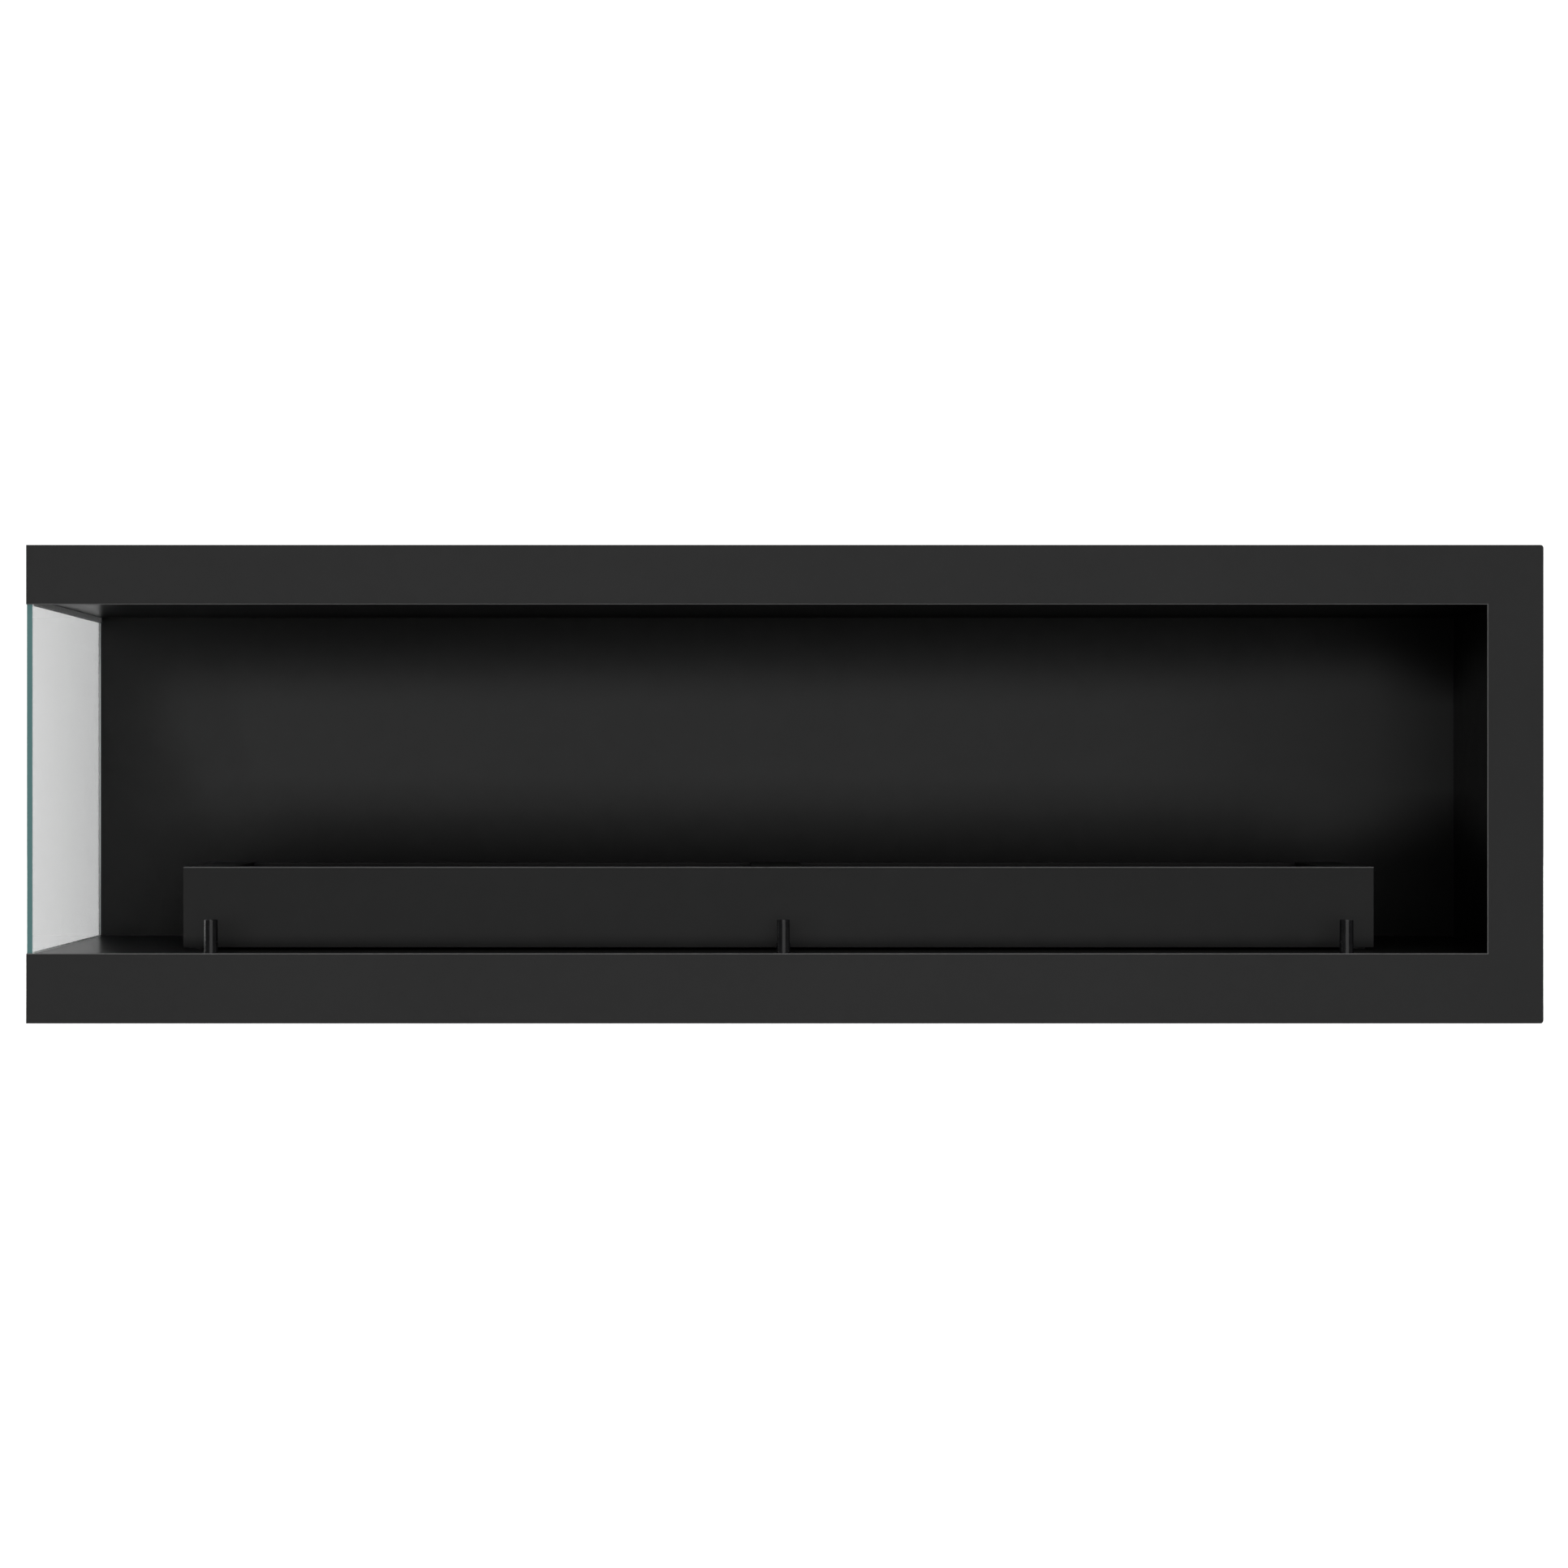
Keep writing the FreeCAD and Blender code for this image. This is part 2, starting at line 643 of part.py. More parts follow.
# ---- burners ----
def tank_block(x, shrink, z0, z1):
    """Return a round-cornered block smaller than the tank by an amount on each side."""
    half_x = TANK_LENGTH / 2 - shrink
    half_y = TANK_WIDTH / 2 - shrink
    depth = (HOUSING_MID_Y - half_y, HOUSING_MID_Y + half_y)
    shape = block(x - half_x, x + half_x, *depth, z0, z1)
    return round_edges(shape, TANK_CORNER - shrink, V(0, 0, 1), lambda p: True)


def burner_tank(x):
    """Make the folded stainless fuel tank."""
    z0 = LEDGE_TOP - TANK_DEPTH
    tank = tank_block(x, 0, z0, LEDGE_TOP)
    inside = tank_block(x, TANK_WALL, z0 + TANK_WALL, LEDGE_TOP + 1)
    return tank.cut(inside)


def lid_start(x):
    """Return the low end of the shut lid of the burner centred on x."""
    return x - PLATE_LENGTH / 2 + LID_START


def slot_start(x):
    """Return the low end of the flame slot of the burner centred on x."""
    return lid_start(x) + (LID_LENGTH - SLOT_LENGTH) / 2


def burner_plate(x):
    """Make the stainless top plate with its flame slot."""
    half_x = PLATE_LENGTH / 2
    half_y = PLATE_WIDTH / 2
    y = HOUSING_MID_Y
    plate = block(x - half_x, x + half_x, y - half_y, y + half_y, LEDGE_TOP, PLATE_TOP)
    plate = round_edges(plate, PLATE_CORNER, V(0, 0, 1), lambda p: True)
    low = slot_start(x)
    half = SLOT_WIDTH / 2
    slot = block(low, low + SLOT_LENGTH, y - half, y + half, LEDGE_TOP - 1, PLATE_TOP + 1)
    slot = round_edges(slot, half - TOLERANCE, V(0, 0, 1), lambda p: True)
    return plate.cut(slot)


def lid_guides(x):
    """Make the two lipped rails that the lid slides in."""
    rails = []
    x0 = x - PLATE_LENGTH / 2 + GUIDE_INSET
    x1 = x + PLATE_LENGTH / 2 - GUIDE_INSET
    z0 = PLATE_TOP
    top = z0 + LID_THICK + 2 * LID_PLAY + GUIDE_SHEET
    for side in (-1, 1):
        edge = HOUSING_MID_Y + side * (LID_WIDTH / 2 + LID_PLAY)
        outer = edge + side * GUIDE_SHEET
        foot_y = sorted((edge, edge + side * GUIDE_FOOT))
        web_y = sorted((edge, outer))
        lip_y = sorted((outer, edge - side * GUIDE_LIP))
        foot = block(x0, x1, *foot_y, z0, z0 + GUIDE_SHEET)
        web = block(x0, x1, *web_y, z0, top)
        lip = block(x0, x1, *lip_y, top - GUIDE_SHEET, top)
        rails.append(fuse([foot, web, lip]))
    return rails


def ceramic_block(x):
    """Make the ceramic fibre block that soaks up the fuel."""
    z0 = LEDGE_TOP - TANK_DEPTH + TANK_WALL
    return tank_block(x, TANK_WALL + FIBRE_PLAY, z0, LEDGE_TOP - FIBRE_DROP)


def burner_lid(x):
    """Make the sliding lid, shut over the slot, with a hook hole and a turned-up stop."""
    y = HOUSING_MID_Y
    x0 = lid_start(x)
    x1 = x0 + LID_LENGTH
    z0 = PLATE_TOP + LID_PLAY
    half = LID_WIDTH / 2
    lid = block(x0, x1, y - half, y + half, z0, z0 + LID_THICK)
    stop_y = (y - STOP_HALF_WIDTH, y + STOP_HALF_WIDTH)
    stop = block(x1 - LID_THICK, x1, *stop_y, z0, HOUSING_TOP - STOP_DROP)
    hole = rod(x1 - HOOK_INSET, y, z0 - 1, HOOK_RADIUS, LID_THICK + 2)
    return fuse([lid, stop]).cut(hole)


# ---- glass holders ----
def glass_holder(x):
    """Make one round post with a slot for the edge of a front pane."""
    y = HOLDER_Y
    top = FLOOR + HOLDER_HEIGHT
    post = rod(x, y, FLOOR, HOLDER_RADIUS, HOLDER_HEIGHT)
    rims = [e for e in post.Edges if near(e.BoundBox.ZMin, top)]
    post = post.makeChamfer(HOLDER_CHAMFER, rims)
    half = HOLDER_SLOT / 2
    reach = HOLDER_RADIUS + 1
    slot = block(x - reach, x + reach, y - half, y + half, top - HOLDER_SLOT_DEPTH, top + 1)
    base_depth = HOLDER_SCREW_DEPTH - SHEET
    base_bore = rod(x, y, FLOOR - 1, M5_RADIUS + THREAD_PLAY, base_depth + 1)
    screw_bore = rod(x, y, top - GRUB_DROP, M4_RADIUS + THREAD_PLAY, reach, V(0, 1, 0))
    return cut(post, [slot, base_bore, screw_bore])


def holder_grub_screws():
    """Make the M4 set screws in the rear lobes of the posts."""
    screws = []
    z = FLOOR + HOLDER_HEIGHT - GRUB_DROP
    y = HOLDER_Y + HOLDER_SLOT / 2
    socket_y = y + GRUB_LENGTH - GRUB_SOCKET_DEPTH
    for x in HOLDER_X:
        screw = rod(x, y, z, M4_RADIUS, GRUB_LENGTH, V(0, 1, 0))
        socket = rod(x, socket_y, z, GRUB_SOCKET_RADIUS, GRUB_LENGTH, V(0, 1, 0))
        screws.append(screw.cut(socket))
    return screws


def holder_pads():
    """Make the soft pads on the floors of the slots."""
    pads = []
    half_y = HOLDER_SLOT / 2 - PAD_PLAY
    depth = (HOLDER_Y - half_y, HOLDER_Y + half_y)
    z0 = FLOOR + HOLDER_HEIGHT - HOLDER_SLOT_DEPTH
    for x in HOLDER_X:
        pads.append(block(x - PAD_HALF_LENGTH, x + PAD_HALF_LENGTH, *depth, z0, z0 + PAD_THICK))
    return pads


def holder_screws():
    """Make the screws that hold the posts from under the floor."""
    screws = []
    top = FLOOR - SHEET
    for x in HOLDER_X:
        head = rod(x, HOLDER_Y, top - HOLDER_HEAD, HOLDER_HEAD_RADIUS, HOLDER_HEAD)
        shank = rod(x, HOLDER_Y, top, M5_RADIUS, HOLDER_SCREW_DEPTH)
        drive = rod(x, HOLDER_Y, top - HOLDER_HEAD - 1, HOLDER_DRIVE_RADIUS, HOLDER_HEAD)
        screws.append(head.fuse(shank).cut(drive).removeSplitter())
    return screws


def main():
    """Write every piece of the insert."""
    os.makedirs("parts", exist_ok=True)
    save("front_fascia", front_fascia())
    save("casing_top", cut(casing_tray(HEIGHT, -1), rear_holes(rivet_places(), RIVET_HOLE)))
    save("casing_bottom", cut(casing_tray(0, 1), rear_holes(rivet_places(), RIVET_HOLE)))
    save("casing_right_side", casing_right_side())
    save("casing_back", casing_back())
    save("end_cap_top", left_end_cap(BED_HIGH, HEIGHT))
    save("end_cap_bottom", left_end_cap(0, BED_LOW))
    save("rear_left_post", rear_left_post())
    save("casing_rivets", *casing_rivets())
    save("mounting_press_nuts", *press_nuts())
    save("firebox_ceiling", firebox_ceiling())
    save("firebox_back_wall", firebox_back_wall())
    save("firebox_right_wall", firebox_right_wall())
    save("firebox_floor", firebox_floor())
    rib_sets = {"floor": floor_ribs(), "ceiling": ceiling_ribs(), "back": back_ribs()}
    for label, ribs in rib_sets.items():
        for place, rib in zip(("left", "middle", "right"), ribs):
            save(label + "_rib_" + place, rib)
    save("insulation_top", *insulation_top())
    save("insulation_back", *insulation_back())
    save("side_glass", side_glass())
    save("glass_angle_top", glass_angle(OPENING_TOP, BED_HIGH, 1))
    save("glass_angle_bottom", glass_angle(FLOOR, BED_LOW, -1))
    save("glass_bedding", *glass_bedding())
    save("glass_beads", *glass_beads())
    save("burner_housing", burner_housing())
    save("housing_feet", *housing_feet())
    save("housing_screws", *housing_screws())
    save("housing_nuts", *housing_nuts())
    for side, x in BURNERS.items():
        save("burner_seat_" + side, burner_seat(x))
        save("burner_tank_" + side, burner_tank(x))
        save("burner_plate_" + side, burner_plate(x))
        save("lid_guides_" + side, *lid_guides(x))
        save("ceramic_block_" + side, ceramic_block(x))
        save("burner_lid_" + side, burner_lid(x))
    for place, x in zip(("left", "middle", "right"), HOLDER_X):
        save("glass_holder_" + place, glass_holder(x))
    save("holder_grub_screws", *holder_grub_screws())
    save("holder_pads", *holder_pads())
    save("holder_screws", *holder_screws())


main()
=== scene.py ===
import bpy
import json
import math
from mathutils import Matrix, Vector


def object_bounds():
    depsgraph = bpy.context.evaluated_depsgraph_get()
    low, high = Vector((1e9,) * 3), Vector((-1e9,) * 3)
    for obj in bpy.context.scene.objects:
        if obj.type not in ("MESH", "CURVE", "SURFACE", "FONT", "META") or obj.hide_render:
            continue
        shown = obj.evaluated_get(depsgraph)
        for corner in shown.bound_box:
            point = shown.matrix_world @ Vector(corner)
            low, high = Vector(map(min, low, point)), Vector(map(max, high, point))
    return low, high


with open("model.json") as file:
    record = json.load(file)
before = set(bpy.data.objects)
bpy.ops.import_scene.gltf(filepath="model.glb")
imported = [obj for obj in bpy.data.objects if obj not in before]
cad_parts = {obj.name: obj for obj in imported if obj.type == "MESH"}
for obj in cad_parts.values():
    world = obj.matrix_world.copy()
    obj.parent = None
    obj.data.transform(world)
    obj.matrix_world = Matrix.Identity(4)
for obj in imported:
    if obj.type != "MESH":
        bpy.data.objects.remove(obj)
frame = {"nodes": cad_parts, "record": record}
CAD_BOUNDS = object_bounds()

# ---- camera: stands in front of the firebox, a little left of its middle ----
VIEW_DISTANCE = 2.400
CAMERA_X = -0.0703
CAMERA_Z = 0.2088
LENS = 64.32
SENSOR_WIDTH = 36.0
SHIFT_X = 0.0518
SHIFT_Y = -0.0027

# ---- brightness of the white room: as a fill on the object, mirrored in it, and as seen behind it ----
ROOM_FILL = 0.17
ROOM_MIRRORED = 0.05
ROOM_WHITE = 1.13

# ---- stage and light ----
FLOOR_HALF_WIDTH = 60.0
LAMP_TARGET = (0.0, 0.0, 0.2)
SUN_STRENGTH = 1.6
SUN_ANGLE = 70.0

# ---- places worked out from the frame, in metres ----
FRONT_Y = CAD_BOUNDS[0][1]
BACK_Y = CAD_BOUNDS[1][1]
TOP_Z = CAD_BOUNDS[1][2]
REAR_DARKENING_DEPTH = (FRONT_Y + 0.03, BACK_Y - 0.03)
ABOVE_FOOT = (0.01, 0.02)
BELOW_TOP = (TOP_Z - 0.02, TOP_Z - 0.01)

# ---- where the painted corner shade on the firebox coat differs: heights, and distances right of the middle ----
REACH_HEIGHTS = (0.13, 0.26)
RIGHT_END = (0.38, 0.54)
WEAK_FROM = (0.13, 0.2)
WEAK_TO = (0.28, 0.34)

# ---- limits on how squarely a surface faces along an axis, where 1 is straight along it ----
BEND_FACING = (0.72, 0.98)
LYING_FACING = (0.4, 0.9)
POLISHED_FACING = (0.8, 2.0)
GROUND_FACING = (0.5, 0.8)


# ---- node helpers ----
def new_material(name):
    """Start a material with one Principled shader and return it with its tree and shader."""
    material = bpy.data.materials.new(name)
    material.use_nodes = True
    tree = material.node_tree
    shader = tree.nodes["Principled BSDF"]
    return material, tree, shader


def maths(tree, operation, *values):
    """Return the result of one operation on values, each an output or a plain number."""
    node = tree.nodes.new("ShaderNodeMath")
    node.operation = operation
    for socket, value in zip(node.inputs, values):
        if isinstance(value, float):
            socket.default_value = value
        else:
            tree.links.new(value, socket)
    return node.outputs[0]


def axis_values(tree, vector):
    """Return the parts of a vector, under X, Y and Z."""
    node = tree.nodes.new("ShaderNodeSeparateXYZ")
    tree.links.new(vector, node.inputs["Vector"])
    return node.outputs


def object_coords(tree, scale=(1.0, 1.0, 1.0)):
    """Return object coordinates, stretched by a scale on each axis."""
    coords = tree.nodes.new("ShaderNodeTexCoord")
    mapping = tree.nodes.new("ShaderNodeMapping")
    mapping.inputs["Scale"].default_value = scale
    tree.links.new(coords.outputs["Object"], mapping.inputs["Vector"])
    return mapping.outputs["Vector"]


def facing(tree, axis):
    """Return how squarely the surface faces along one axis of the object."""
    coords = tree.nodes.new("ShaderNodeTexCoord")
    return maths(tree, "ABSOLUTE", axis_values(tree, coords.outputs["Normal"])[axis])


def noise_value(tree, scale, detail=2.0, stretch=(1.0, 1.0, 1.0)):
    """Return the value of a noise pattern in object space."""
    node = tree.nodes.new("ShaderNodeTexNoise")
    node.inputs["Scale"].default_value = scale
    node.inputs["Detail"].default_value = detail
    tree.links.new(object_coords(tree, stretch), node.inputs["Vector"])
    return node.outputs["Fac"]


def remap(tree, value, low, high, from_low=0.3, from_high=0.7):
    """Return a value moved from one range to another. Most of a noise pattern lies in 0.3 to 0.7."""
    node = tree.nodes.new("ShaderNodeMapRange")
    node.inputs["From Min"].default_value = from_low
    node.inputs["From Max"].default_value = from_high
    node.inputs["To Min"].default_value = low
    node.inputs["To Max"].default_value = high
    tree.links.new(value, node.inputs["Value"])
    return node.outputs["Result"]


def within(tree, value, rise, fall):
    """Return 1 between a rising and a falling stretch of a value, and 0 outside them."""
    up = remap(tree, value, 0.0, 1.0, *rise)
    down = remap(tree, value, 1.0, 0.0, *fall)
    return maths(tree, "MULTIPLY", up, down)


def mix_colours(tree, factor, first, second):
    """Return a mix of two colours, each an output or three plain numbers."""
    node = tree.nodes.new("ShaderNodeMix")
    node.data_type = "RGBA"
    for name, colour in (("A", first), ("B", second)):
        if isinstance(colour, tuple):
            node.inputs[name].default_value = (*colour, 1.0)
        else:
            tree.links.new(colour, node.inputs[name])
    tree.links.new(factor, node.inputs["Factor"])
    return node.outputs["Result"]


def mix_shaders(tree, factor, first, second):
    """Return a mix of two shader outputs."""
    node = tree.nodes.new("ShaderNodeMixShader")
    tree.links.new(factor, node.inputs[0])
    tree.links.new(first, node.inputs[1])
    tree.links.new(second, node.inputs[2])
    return node.outputs[0]


def show(tree, surface):
    """Make a shader output the material's surface."""
    tree.links.new(surface, tree.nodes["Material Output"].inputs["Surface"])


def scaled(colour, factor):
    """Return a colour made lighter or darker."""
    return tuple(min(1.0, c * factor) for c in colour)


def paint(tree, shader, pattern, dark, light):
    """Give a shader a base colour that follows a noise pattern between two colours."""
    tint = mix_colours(tree, remap(tree, pattern, 0.0, 1.0), dark, light)
    tree.links.new(tint, shader.inputs["Base Color"])


def roughen(tree, shader, pattern, low, high):
    """Give a shader a roughness that follows a noise pattern."""
    tree.links.new(remap(tree, pattern, low, high), shader.inputs["Roughness"])


def add_bump(tree, shader, value, strength, distance, before=None):
    """Add a bump to a shader's normal and return its output."""
    node = tree.nodes.new("ShaderNodeBump")
    node.inputs["Strength"].default_value = strength
    node.inputs["Distance"].default_value = distance
    tree.links.new(value, node.inputs["Height"])
    if before is not None:
        tree.links.new(before, node.inputs["Normal"])
    tree.links.new(node.outputs["Normal"], shader.inputs["Normal"])
    return node.outputs["Normal"]


# ---- powder coats ----
def painted_corner_shade(tree, tint, reach, power, low_reach, right_power):
    """Return a tint with painted shade in corners, where an ambient-occlusion node darkens the colour.

    The painted shade reaches further near the floor. Halfway up the right end it has its own power.
    """
    place = axis_values(tree, object_coords(tree))
    distance = remap(tree, place["Z"], low_reach, reach, *REACH_HEIGHTS)
    right = remap(tree, place["X"], 0.0, 1.0, *RIGHT_END)
    halfway = within(tree, place["Z"], WEAK_FROM, WEAK_TO)
    exponent = remap(tree, maths(tree, "MULTIPLY", right, halfway), power, right_power, 0.0, 1.0)
    # painted shade: the ambient-occlusion share darkens the coat's colour in corners
    corners = tree.nodes.new("ShaderNodeAmbientOcclusion")
    corners.samples = 12
    tree.links.new(distance, corners.inputs["Distance"])
    share = maths(tree, "POWER", corners.outputs["AO"], exponent)
    return mix_colours(tree, share, (0.0, 0.0, 0.0), tint)


def painted_bend_highlight(tree, tint, light):
    """Return a tint with a painted highlight on rounded bends, a lighter colour standing in for light
    caught there.

    The casing's own outline at the very top and bottom gets no painted highlight.
    """
    largest = facing(tree, "X")
    for axis in ("Y", "Z"):
        largest = maths(tree, "MAXIMUM", largest, facing(tree, axis))
    bend_highlight = remap(tree, largest, 1.0, 0.0, *BEND_FACING)
    height = axis_values(tree, object_coords(tree))["Z"]
    bend_highlight = maths(tree, "MULTIPLY", bend_highlight, within(tree, height, ABOVE_FOOT, BELOW_TOP))
    return mix_colours(tree, bend_highlight, tint, light)


def add_wide_gloss(tree, shader, tint, lying):
    """Mix a wider, weaker gloss into a coat where it lay flat."""
    wide = tree.nodes.new("ShaderNodeBsdfPrincipled")
    tree.links.new(tint, wide.inputs["Base Color"])
    wide.inputs["Roughness"].default_value = 0.4
    wide.inputs["Specular IOR Level"].default_value = 0.15
    share = remap(tree, lying, 0.0, 0.7, 0.0, 1.0)
    show(tree, mix_shaders(tree, share, shader.outputs[0], wide.outputs[0]))


def powder_coat(name, grey, roughness, grain, depth, edge=2.5, corners=None, flat=None):
    """Baked powder coat: orange-peel grain and faint cloudiness.

    A coat with a flat roughness is smoother where it lay flat.
    """
    material, tree, shader = new_material(name)
    colour = (grey, grey, grey)
    cloud = remap(tree, noise_value(tree, 5.0, detail=3.0), 0.0, 1.0)
    tint = mix_colours(tree, cloud, scaled(colour, 0.96), scaled(colour, 1.04))
    if corners is not None:
        # painted shade: darkens the colour in corners
        tint = painted_corner_shade(tree, tint, **corners)
    # painted highlight: rounded bends get a colour edge times lighter
    tint = painted_bend_highlight(tree, tint, scaled(colour, edge))
    tree.links.new(tint, shader.inputs["Base Color"])
    shader.inputs["Specular IOR Level"].default_value = 0.4
    sheen = remap(tree, noise_value(tree, 60.0, detail=4.0), roughness - 0.02, roughness + 0.02)
    if flat is not None:
        lying = remap(tree, facing(tree, "Z"), 0.0, 1.0, *LYING_FACING)
        smoothing = remap(tree, lying, 1.0, flat / roughness, 0.0, 1.0)
        sheen = maths(tree, "MULTIPLY", sheen, smoothing)
        add_wide_gloss(tree, shader, tint, lying)
    tree.links.new(sheen, shader.inputs["Roughness"])
    peel = noise_value(tree, grain * 0.28, detail=1.0)
    fine = noise_value(tree, grain)
    first = add_bump(tree, shader, peel, strength=0.25, distance=depth * 2)
    add_bump(tree, shader, fine, strength=0.35, distance=depth, before=first)
    return material


# ---- metals ----
def brushed_metal(name, colour, roughness, along=(6.0, 700.0, 700.0)):
    """Brushed stainless steel with fine lines along its length and a heat-dulled skin."""
    material, tree, shader = new_material(name)
    lines = noise_value(tree, 1.0, detail=5.0, stretch=along)
    paint(tree, shader, lines, scaled(colour, 0.93), scaled(colour, 1.05))
    roughen(tree, shader, noise_value(tree, 9.0, detail=3.0), roughness - 0.06, roughness + 0.08)
    shader.inputs["Metallic"].default_value = 0.72
    shader.inputs["Anisotropic"].default_value = 0.5
    add_bump(tree, shader, lines, strength=0.05, distance=0.0001)
    return material


def zinc_plate(name, colour):
    """Bright zinc plating with a cloudy bloom."""
    material, tree, shader = new_material(name)
    bloom = noise_value(tree, 260.0, detail=4.0)
    paint(tree, shader, bloom, scaled(colour, 0.75), scaled(colour, 1.1))
    roughen(tree, shader, bloom, 0.42, 0.24)
    shader.inputs["Metallic"].default_value = 1.0
    add_bump(tree, shader, bloom, strength=0.1, distance=0.0002)
    return material


def galvanised_sheet(name, colour):
    """Hot-dip galvanised sheet with its crystal spangle."""
    material, tree, shader = new_material(name)
    spangle = tree.nodes.new("ShaderNodeTexVoronoi")
    spangle.inputs["Scale"].default_value = 95.0
    tree.links.new(object_coords(tree), spangle.inputs["Vector"])
    split = tree.nodes.new("ShaderNodeSeparateColor")
    tree.links.new(spangle.outputs["Color"], split.inputs["Color"])
    shade = split.outputs["Red"]
    tint = mix_colours(tree, shade, scaled(colour, 0.72), scaled(colour, 1.12))
    tree.links.new(tint, shader.inputs["Base Color"])
    tree.links.new(remap(tree, shade, 0.34, 0.52, 0.0, 1.0), shader.inputs["Roughness"])
    shader.inputs["Metallic"].default_value = 1.0
    return material


def gloss_black(name, colour):
    """Glossy black lacquer over turned metal."""
    material, tree, shader = new_material(name)
    film = noise_value(tree, 130.0, detail=3.0)
    paint(tree, shader, film, scaled(colour, 0.8), scaled(colour, 1.3))
    roughen(tree, shader, film, 0.12, 0.2)
    shader.inputs["Coat Weight"].default_value = 0.3
    shader.inputs["Coat Roughness"].default_value = 0.06
    add_bump(tree, shader, film, strength=0.05, distance=0.0002)
    return material


# ---- fibre, seals and glass ----
def fibre(name, colour, scale, depth):
    """Pressed ceramic fibre: tangled strands, pits and slight yellowing."""
    material, tree, shader = new_material(name)
    strands = noise_value(tree, scale, detail=6.0, stretch=(1.0, 2.6, 1.0))
    clumps = noise_value(tree, scale * 0.2, detail=3.0)
    paint(tree, shader, clumps, scaled(colour, 0.84), colour)
    shader.inputs["Roughness"].default_value = 0.95
    shader.inputs["Specular IOR Level"].default_value = 0.2
    first = add_bump(tree, shader, strands, strength=0.7, distance=depth)
    add_bump(tree, shader, clumps, strength=0.5, distance=depth * 2, before=first)
    return material


def soft_seal(name, colour, roughness):
    """Matte film, strip or pad with a fine texture."""
    material, tree, shader = new_material(name)
    grain = noise_value(tree, 420.0, detail=3.0)
    paint(tree, shader, grain, scaled(colour, 0.85), scaled(colour, 1.15))
    roughen(tree, shader, grain, roughness - 0.05, roughness + 0.05)
    add_bump(tree, shader, grain, strength=0.2, distance=0.0002)
    return material


def clear_sealant(name, colour):
    """Translucent silicone with a wet, slightly uneven skin."""
    material, tree, shader = new_material(name)
    ripple = noise_value(tree, 160.0)
    paint(tree, shader, ripple, scaled(colour, 0.93), colour)
    roughen(tree, shader, ripple, 0.22, 0.34)
    shader.inputs["Subsurface Weight"].default_value = 0.3
    shader.inputs["Subsurface Radius"].default_value = (0.002, 0.002, 0.002)
    add_bump(tree, shader, ripple, strength=0.3, distance=0.0004)
    return material


def faces_along_y(tree, low, high):
    """Return 1 where the surface faces along Y by between two amounts, else 0."""
    amount = facing(tree, "Y")
    above = maths(tree, "GREATER_THAN", amount, low)
    below = maths(tree, "LESS_THAN", amount, high)
    return maths(tree, "MULTIPLY", above, below)


def glass_pane(tree, pane):
    """Return the surface of a clear pane, its colour darker towards the rear, which lets tinted light
    through to shadows.
    """
    depth = axis_values(tree, object_coords(tree))["Y"]
    # the pane's colour grows darker from its front end towards its rear end
    film = remap(tree, depth, 0.0, 1.0, *REAR_DARKENING_DEPTH)
    darker_to_rear = mix_colours(tree, film, (0.995, 1.0, 1.0), (0.82, 0.83, 0.83))
    tree.links.new(darker_to_rear, pane.inputs["Base Color"])
    pane.inputs["Transmission Weight"].default_value = 1.0
    pane.inputs["IOR"].default_value = 1.5
    roughen(tree, pane, noise_value(tree, 7.0, detail=4.0), 0.0, 0.025)
    clear = tree.nodes.new("ShaderNodeBsdfTransparent")
    clear.inputs["Color"].default_value = (0.6, 0.63, 0.62, 1.0)
    path = tree.nodes.new("ShaderNodeLightPath")
    return mix_shaders(tree, path.outputs["Is Shadow Ray"], pane.outputs[0], clear.outputs[0])


def float_glass(name):
    """Clear tempered glass, with a green-blue polished edge and ground corners."""
    material, tree, pane = new_material(name)
    body = glass_pane(tree, pane)

    edge = tree.nodes.new("ShaderNodeBsdfPrincipled")
    streaks = noise_value(tree, 14.0, detail=3.0, stretch=(1.0, 1.0, 0.35))
    paint(tree, edge, streaks, (0.083, 0.172, 0.172), (0.095, 0.188, 0.188))
    edge.inputs["Roughness"].default_value = 0.18
    edge.inputs["Specular IOR Level"].default_value = 0.05
    body = mix_shaders(tree, faces_along_y(tree, *POLISHED_FACING), body, edge.outputs[0])

    corner = tree.nodes.new("ShaderNodeBsdfPrincipled")
    paint(tree, corner, noise_value(tree, 900.0), (0.36, 0.42, 0.41), (0.47, 0.53, 0.52))
    corner.inputs["Roughness"].default_value = 0.5
    show(tree, mix_shaders(tree, faces_along_y(tree, *GROUND_FACING), body, corner.outputs[0]))
    return material


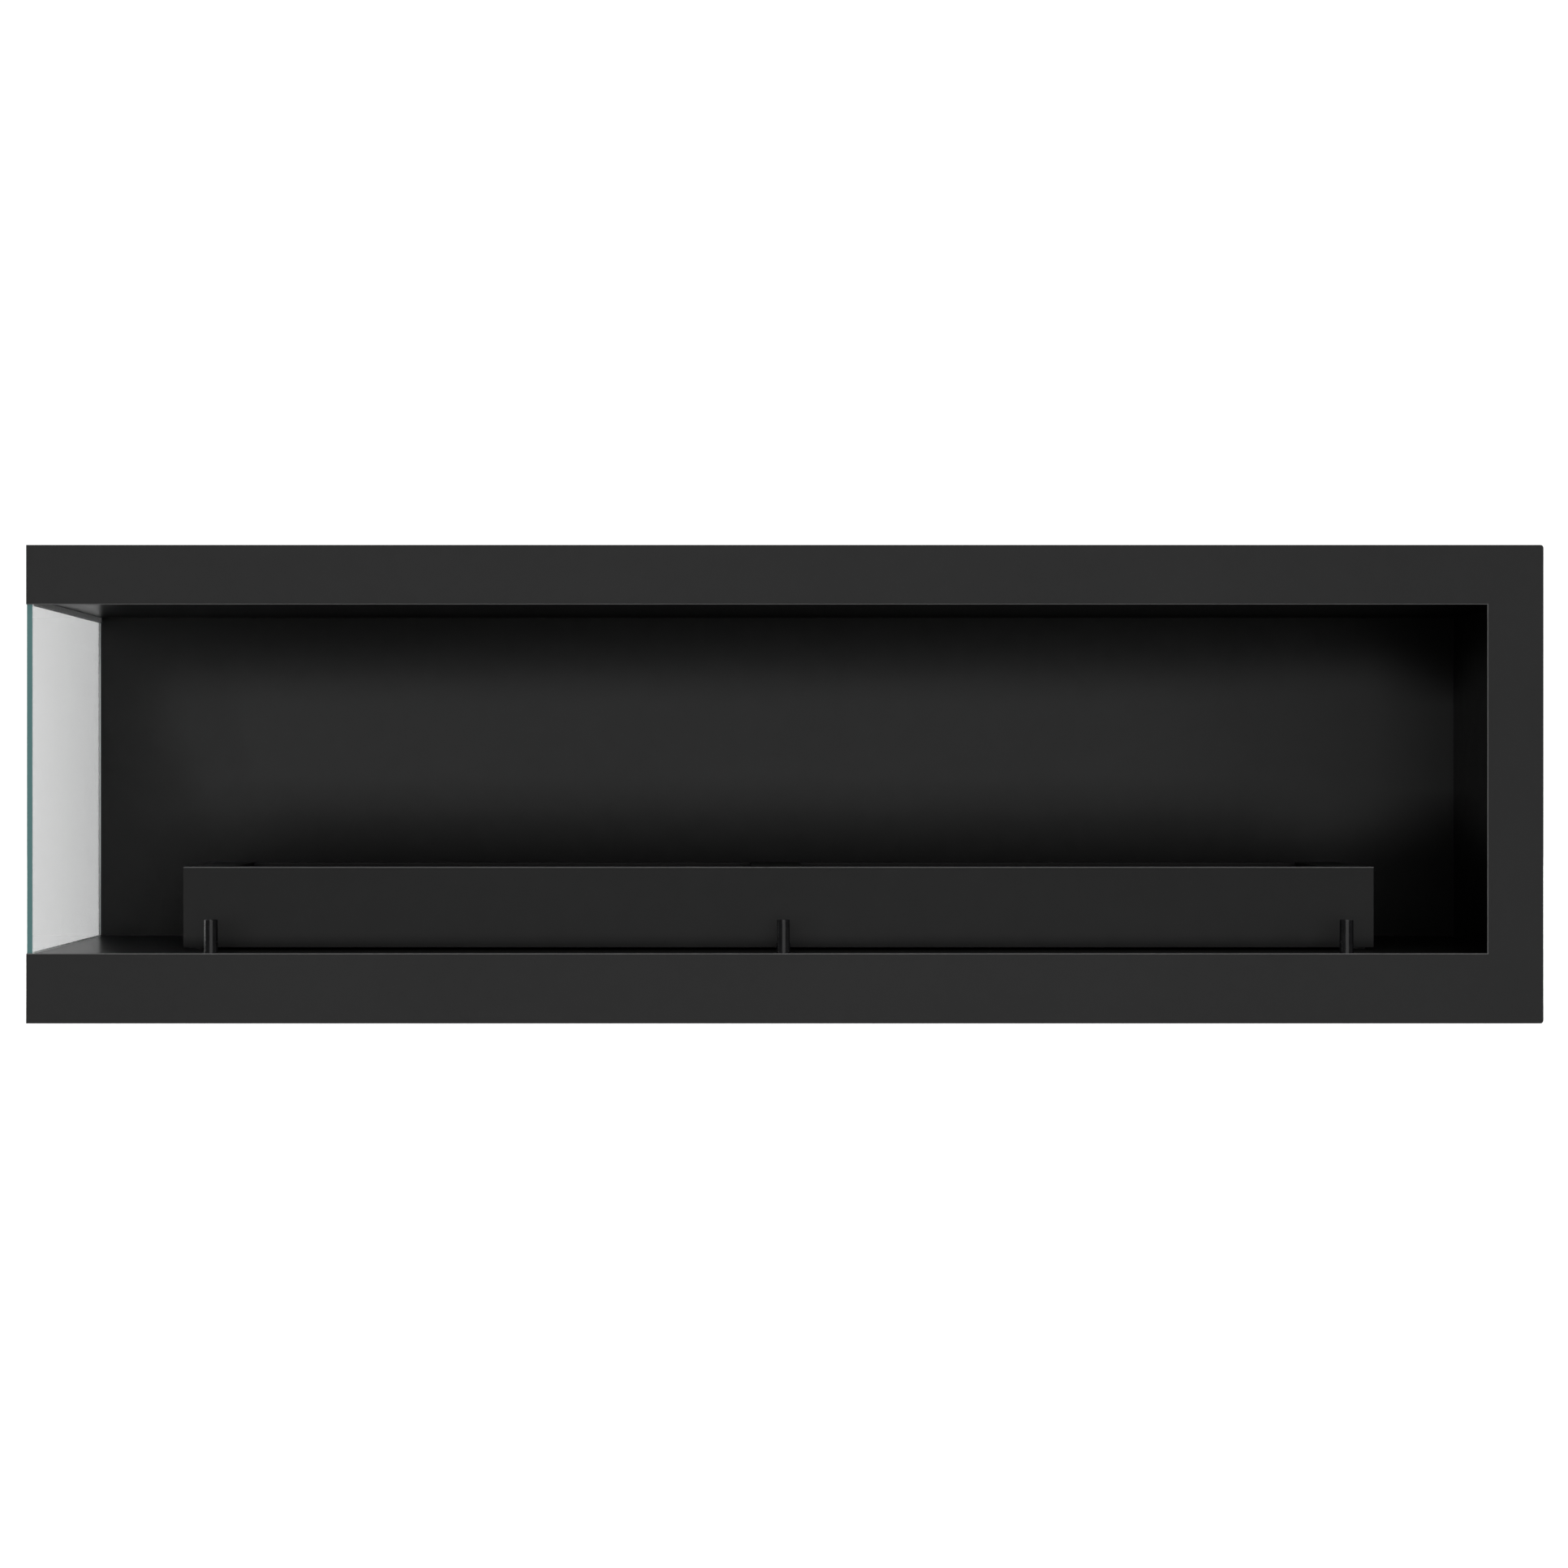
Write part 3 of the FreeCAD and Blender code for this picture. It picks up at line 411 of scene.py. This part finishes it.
FINISHES = {
    "outer_powder_coat": powder_coat(
        # edge sets how much lighter the painted bend highlight is
        "outer_powder_coat", grey=0.0185, roughness=0.6, grain=1500.0, depth=0.00012, edge=11.0
    ),
    "firebox_coat": powder_coat(
        "firebox_coat",
        grey=0.018,
        roughness=0.5,
        grain=1200.0,
        depth=0.0001,
        # corners gives this coat painted shade in its corners
        corners={"reach": 0.085, "power": 4.2, "low_reach": 0.15, "right_power": 0.1},
        flat=0.17,
    ),
    "housing_coat": powder_coat(
        "housing_coat",
        grey=0.0108,
        roughness=0.5,
        grain=1300.0,
        depth=0.0001,
        # edge sets how much lighter the painted bend highlight is
        edge=17.0,
        # corners gives this coat painted shade in its corners
        corners={"reach": 0.014, "power": 3.0, "low_reach": 0.014, "right_power": 3.0},
    ),
    "clear_glass": float_glass("clear_glass"),
    "clear_silicone": clear_sealant("clear_silicone", (0.9, 0.92, 0.91)),
    "grey_primer": soft_seal("grey_primer", (0.86, 0.86, 0.855), roughness=0.4),
    "sealing_tape": soft_seal("sealing_tape", (0.02, 0.02, 0.02), roughness=0.75),
    "gloss_black": gloss_black("gloss_black", (0.006, 0.006, 0.0065)),
    "stainless_brushed": brushed_metal("stainless_brushed", (0.55, 0.55, 0.54), roughness=0.36),
    "stainless_bright": brushed_metal(
        "stainless_bright", (0.58, 0.58, 0.58), roughness=0.2, along=(300.0, 300.0, 300.0)
    ),
    "zinc_plate": zinc_plate("zinc_plate", (0.6, 0.61, 0.63)),
    "galvanised_sheet": galvanised_sheet("galvanised_sheet", (0.5, 0.51, 0.52)),
    "ceramic_fibre": fibre("ceramic_fibre", (0.84, 0.82, 0.78), scale=380.0, depth=0.0008),
    "insulation_board": fibre("insulation_board", (0.68, 0.62, 0.52), scale=240.0, depth=0.0006),
}


def dress_nodes():
    """Give every CAD node the finish of its material slot."""
    slots = {row["node"]: row["material_slot"] for row in frame["record"]["subparts"]}
    for name, node in frame["nodes"].items():
        node.data.materials.clear()
        node.data.materials.append(FINISHES[slots[name]])


# ---- stage, light and camera ----
def studio_paper():
    """Return pale paper that glows faintly, so that the floor stays white."""
    material, tree, shader = new_material("studio_paper")
    paint(tree, shader, noise_value(tree, 3.0), (0.9, 0.9, 0.9), (0.92, 0.92, 0.92))
    shader.inputs["Roughness"].default_value = 0.9
    shader.inputs["Specular IOR Level"].default_value = 0.0
    shader.inputs["Emission Color"].default_value = (1.0, 1.0, 1.0, 1.0)
    shader.inputs["Emission Strength"].default_value = 0.6
    return material


def pale_stage():
    """Make the pale studio floor, which is neither mirrored nor shadowed."""
    mesh = bpy.data.meshes.new("studio_floor")
    half = FLOOR_HALF_WIDTH
    corners = [(-half, -half, 0.0), (half, -half, 0.0), (half, half, 0.0), (-half, half, 0.0)]
    mesh.from_pydata(corners, [], [(0, 1, 2, 3)])
    floor = bpy.data.objects.new("studio_floor", mesh)
    bpy.context.collection.objects.link(floor)
    mesh.materials.append(studio_paper())
    floor.visible_glossy = False
    floor.visible_diffuse = False
    floor.visible_transmission = False
    floor.visible_shadow = False


def white_room():
    """Surround the object with white, which is dimmer as a fill and in reflections."""
    world = bpy.data.worlds.new("studio")
    world.use_nodes = True
    tree = world.node_tree
    surround = tree.nodes["Background"]
    surround.inputs["Color"].default_value = (1.0, 1.0, 1.0, 1.0)
    path = tree.nodes.new("ShaderNodeLightPath").outputs
    undiffused = maths(tree, "LESS_THAN", path["Diffuse Depth"], 0.5)
    through = maths(tree, "MULTIPLY", path["Is Transmission Ray"], undiffused)
    seen = maths(tree, "MAXIMUM", path["Is Camera Ray"], through)
    fill = remap(tree, path["Is Glossy Ray"], ROOM_FILL, ROOM_MIRRORED, 0.0, 1.0)
    white = tree.nodes.new("ShaderNodeMix")
    white.inputs["B"].default_value = ROOM_WHITE
    tree.links.new(seen, white.inputs["Factor"])
    tree.links.new(fill, white.inputs["A"])
    tree.links.new(white.outputs["Result"], surround.inputs["Strength"])
    bpy.context.scene.world = world


def soft_box(name, place, width, height, power, glossy=True, diffuse=True):
    """Add one rectangular soft light that faces the object."""
    light = bpy.data.lights.new(name, "AREA")
    light.shape = "RECTANGLE"
    light.size = width
    light.size_y = height
    light.energy = power
    lamp = bpy.data.objects.new(name, light)
    lamp.location = place
    lamp.rotation_euler = (Vector(LAMP_TARGET) - Vector(place)).to_track_quat("-Z", "Y").to_euler()
    lamp.visible_transmission = False
    lamp.visible_glossy = glossy
    lamp.visible_diffuse = diffuse
    bpy.context.collection.objects.link(lamp)


def studio_light():
    """Light the object from the front, the right and the rear, and softly from overhead."""
    soft_box("front_light", (-0.9, -4.6, 0.45), width=4.2, height=1.7, power=143.0, glossy=False)
    soft_box("streak_light", (0.35, -4.0, 0.35), width=3.6, height=1.6, power=12.0, diffuse=False)
    soft_box("right_front_light", (3.2, -3.4, 0.5), width=1.2, height=1.5, power=31.0, glossy=False)
    soft_box("rear_light", (0.6, 4.2, 2.4), width=3.2, height=2.4, power=150.0)
    soft_box("right_light", (4.2, 0.8, 2.0), width=2.4, height=2.0, power=90.0)
    dome = bpy.data.lights.new("overhead_light", "SUN")
    dome.energy = SUN_STRENGTH
    dome.angle = math.radians(SUN_ANGLE)
    lamp = bpy.data.objects.new("overhead_light", dome)
    lamp.visible_transmission = False
    bpy.context.collection.objects.link(lamp)


def front_camera():
    """Create the camera, level and square to the front."""
    data = bpy.data.cameras.new("camera")
    data.lens = LENS
    data.sensor_width = SENSOR_WIDTH
    data.shift_x = SHIFT_X
    data.shift_y = SHIFT_Y
    camera = bpy.data.objects.new("camera", data)
    camera.location = (CAMERA_X, FRONT_Y - VIEW_DISTANCE, CAMERA_Z)
    camera.rotation_euler = (math.pi / 2, 0.0, 0.0)
    bpy.context.collection.objects.link(camera)
    bpy.context.scene.camera = camera


dress_nodes()
pale_stage()
white_room()
studio_light()
front_camera()
bpy.context.scene.view_settings.view_transform = "Standard"
